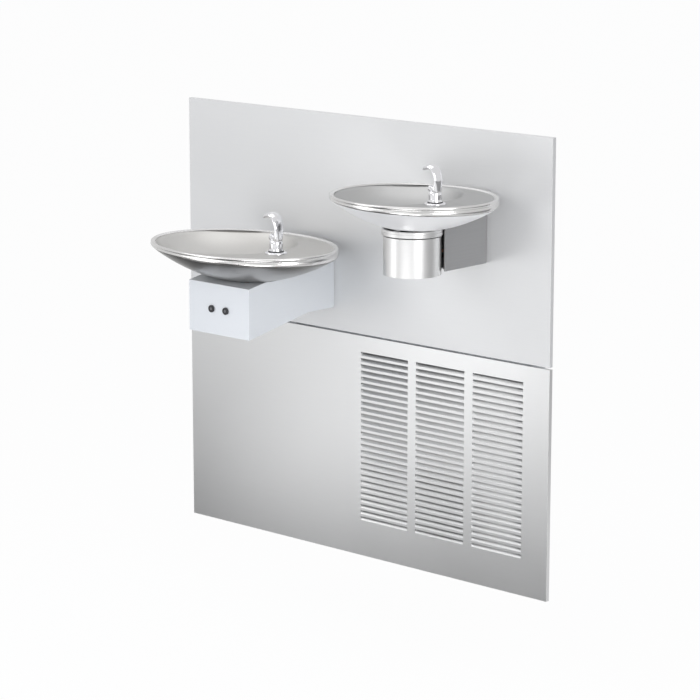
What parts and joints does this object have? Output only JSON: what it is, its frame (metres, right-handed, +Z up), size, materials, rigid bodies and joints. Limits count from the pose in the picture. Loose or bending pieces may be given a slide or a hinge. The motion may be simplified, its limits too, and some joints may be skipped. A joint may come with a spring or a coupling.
{
  "type": "bi-level drinking fountain",
  "caption": "In-wall bi-level drinking fountain: a low sensor bowl and a high push-bar bowl on steel trim panels, with a chiller behind louvres.",
  "frame": {"origin": "on the finished wall's plane, midway across the panels, on the seam between the upper and the lower panel", "axes": "+X to the user's right, +Y into the wall, +Z up; the user stands at -Y"},
  "size_m": [0.965, 0.492, 0.901],
  "materials": {
    "brushed_stainless": "vertical brushed stainless sheet",
    "satin_bowl": "satin stainless with polished rim",
    "satin_arm": "pale satin stainless",
    "grey_arm": "satin stainless",
    "push_steel": "satin stainless",
    "bright_chrome": "polished chrome",
    "strainer_steel": "polished stainless",
    "black_rubber": "matte",
    "brass_parts": "cast brass",
    "pipe_plastic": "black waste pipe",
    "sensor_black": "glossy black lens",
    "module_grey": "moulded housing",
    "copper_tube": "drawn copper tube",
    "galvanised": "galvanised steel",
    "steel_pins": "ground steel",
    "black_paint": "black enamel",
    "coil_fins": "aluminium fins",
    "motor_paint": "dark enamel",
    "fan_alloy": "pressed aluminium",
    "tank_foam": "insulated tank jacket",
    "lever_red": "dipped lever"
  },
  "bodies": {
    "fountain": {"upper_panel": "brushed_stainless", "lower_panel": "brushed_stainless", "panel_clips": "galvanised", "frame_side_left": "galvanised", "frame_side_right": "galvanised", "frame_top_rail": "galvanised", "frame_mid_rail": "galvanised", "frame_bottom_rail": "galvanised", "low_backing": "galvanised", "high_backing": "galvanised", "low_arm_plate": "satin_arm", "low_arm": "satin_arm", "low_arm_cover": "satin_arm", "low_basin": "satin_bowl", "low_shell": "satin_bowl", "low_escutcheon": "bright_chrome", "low_bubbler_gasket": "black_rubber", "low_bubbler": "bright_chrome", "low_nozzle": "bright_chrome", "low_bubbler_nut": "brass_parts", "low_strainer": "strainer_steel", "low_waste": "pipe_plastic", "sensor_lenses": "sensor_black", "sensor_module": "module_grey", "solenoid_valve": "brass_parts", "low_supply": "copper_tube", "high_arm_plate": "grey_arm", "high_arm": "grey_arm", "high_basin": "satin_bowl", "high_shell": "satin_bowl", "high_escutcheon": "bright_chrome", "high_bubbler_gasket": "black_rubber", "high_bubbler": "bright_chrome", "high_nozzle": "bright_chrome", "high_bubbler_nut": "brass_parts", "high_strainer": "strainer_steel", "high_waste": "pipe_plastic", "trim_ring": "push_steel", "valve_bracket": "galvanised", "guide_rods": "steel_pins", "valve_body": "brass_parts", "return_spring": "steel_pins", "high_supply": "copper_tube", "arm_bolts": "galvanised", "waste_line": "pipe_plastic", "chiller_shelf": "galvanised", "compressor": "black_paint", "compressor_feet": "black_rubber", "condenser": "coil_fins", "fan_shroud": "galvanised", "fan_motor": "motor_paint", "cooling_tank": "tank_foam", "stop_valve": "brass_parts", "water_lines": "copper_tube", "refrigerant_lines": "copper_tube"},
    "push_bar": {"push_bar": "push_steel", "push_carriage": "brass_parts"},
    "valve_plunger": {"valve_plunger": "steel_pins"},
    "fan": {"fan_blade": "fan_alloy"},
    "stop_lever": {"stop_lever": "lever_red"}
  },
  "joints": [
    {"name": "push_bar_press", "type": "slide", "parent": "fountain", "child": "push_bar", "axis": [0, 1, 0], "range_m": [0, 0.004], "stiffness_N_per_m": 600},
    {"name": "plunger_press", "type": "slide", "parent": "fountain", "child": "valve_plunger", "axis": [0, 1, 0], "range_m": [0, 0.004], "stiffness_N_per_m": 400, "deforming": ["return_spring"]},
    {"name": "fan_spin", "type": "hinge", "parent": "fountain", "child": "fan", "pos_m": [0.2, 0.0665, -0.323], "axis": [0, 1, 0], "continuous": true},
    {"name": "stop_lever_turn", "type": "hinge", "parent": "fountain", "child": "stop_lever", "pos_m": [-0.32, 0.06695, -0.3], "axis": [0, 1, 0], "range_deg": [0, 90]}
  ],
  "couplings": [
    {"joint": "plunger_press", "follows": "push_bar_press", "ratio": 1}
  ]
}
